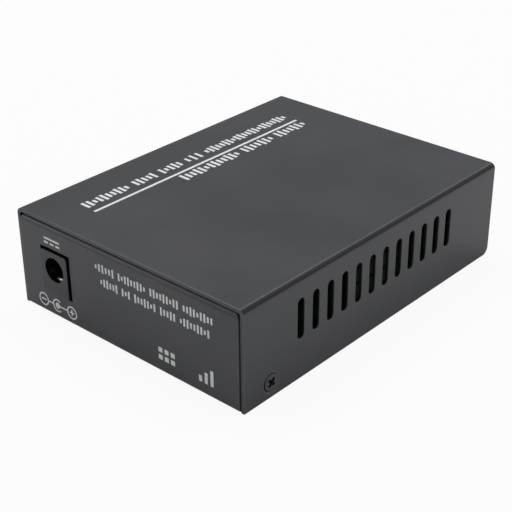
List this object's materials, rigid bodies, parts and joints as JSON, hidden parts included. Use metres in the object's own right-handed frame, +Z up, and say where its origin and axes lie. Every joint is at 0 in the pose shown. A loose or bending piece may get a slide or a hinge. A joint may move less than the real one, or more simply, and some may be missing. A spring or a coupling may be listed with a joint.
{
  "type": "fibre media converter",
  "caption": "Small black sheet-metal box that joins a copper network port to a fibre module slot, with side vents and a barrel power inlet at the rear.",
  "frame": {"origin": "middle of the footprint, on the plane that the case stands on", "axes": "+Y from the port end to the power inlet end, along the length; +Z up, the height; +X to the right as seen from the port end"},
  "size_m": [0.0716, 0.0958, 0.0255],
  "materials": {
    "powder_coat": "fine-textured black powder coat",
    "black_screw": "black oxide",
    "plated_steel": "zinc plate",
    "tin_plate": "bright tin plate",
    "gilt_contact": "thin gilt",
    "board_green": "solder mask",
    "black_moulding": "moulded",
    "chip_mould": "moulded",
    "lens_green": "tinted epoxy",
    "lens_red": "tinted epoxy",
    "can_aluminium": "drawn, clear sleeve",
    "ferrite": "pressed ferrite",
    "chip_ceramic": "fired ceramic"
  },
  "bodies": {
    "root": {"top_cover": "powder_coat", "base_tray": "powder_coat", "cover_screws": "black_screw", "board_standoffs": "plated_steel", "board_screws": "plated_steel", "main_board": "board_green", "power_inlet_body": "black_moulding", "power_inlet_pin": "tin_plate", "power_inlet_leaf": "tin_plate", "power_inlet_side_terminal": "tin_plate", "copper_port_shield": "tin_plate", "copper_port_housing": "black_moulding", "copper_port_contacts": "gilt_contact", "fibre_port_cage": "tin_plate", "fibre_port_collar": "tin_plate", "fibre_port_connector": "black_moulding", "fibre_port_contacts": "gilt_contact", "network_transformer": "chip_mould", "converter_chip": "chip_mould", "line_chip": "chip_mould", "memory_chip": "chip_mould", "voltage_regulator": "chip_mould", "power_inductor": "ferrite", "input_capacitor": "can_aluminium", "output_capacitor": "can_aluminium", "input_diode": "chip_mould", "clock_crystal": "tin_plate", "chip_resistors": "chip_mould", "chip_capacitors": "chip_ceramic", "light_spacer_1": "black_moulding", "light_spacer_2": "black_moulding", "light_spacer_3": "black_moulding", "status_light_1": "lens_green", "status_light_2": "lens_red", "status_light_3": "lens_green", "status_light_4": "lens_green", "status_light_5": "lens_green", "status_light_6": "lens_green"}
  },
  "joints": []
}
